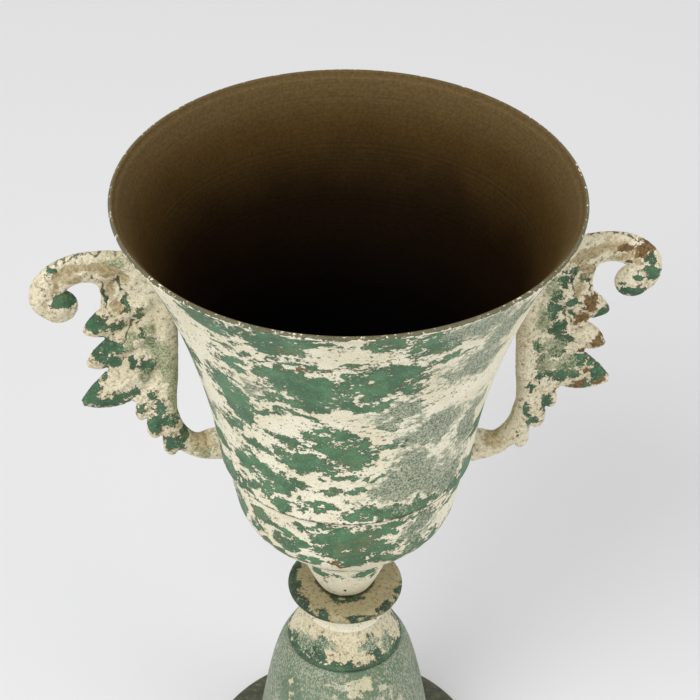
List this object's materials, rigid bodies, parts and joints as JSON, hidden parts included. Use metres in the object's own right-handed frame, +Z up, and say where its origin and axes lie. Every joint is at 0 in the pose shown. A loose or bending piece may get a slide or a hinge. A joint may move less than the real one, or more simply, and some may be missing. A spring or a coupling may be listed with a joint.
{
  "type": "urn planter",
  "caption": "Tall two-handled urn planter of spun sheet metal: flared bell on a knop stem and bell-shaped pedestal, with cast scroll handles.",
  "frame": {"origin": "middle of the foot, on the surface that the urn stands on", "axes": "+Z up through the mouth, handles towards -X and +X, turned 11 and 8 degrees about their feet, so that the -X one stands out towards -Y"},
  "size_m": [0.405, 0.3, 0.52],
  "materials": {
    "bell": "cream paint worn through to green in ragged patches, dark bronze-brown inside",
    "stem": "cream paint worn through to green",
    "knop": "taupe, sandy paint with a dark green worn edge",
    "pedestal": "hazy grey-green paint with cream chips",
    "base": "dark green and brown worn paint",
    "handle": "sand-cast grain under cream and green worn paint with rust",
    "fastener": "dull plain steel"
  },
  "bodies": {
    "root": {"upper_bell": "bell", "lower_bowl": "bell", "neck_cone": "stem", "knop_disc": "knop", "stem_ring": "stem", "collar_cap": "stem", "pedestal_bell": "pedestal", "base_plate": "base", "handle_left": "handle", "handle_right": "handle", "tie_rod": "fastener", "top_washer": "fastener", "top_nut": "fastener", "bottom_washer": "fastener", "bottom_nut": "fastener"}
  },
  "joints": []
}
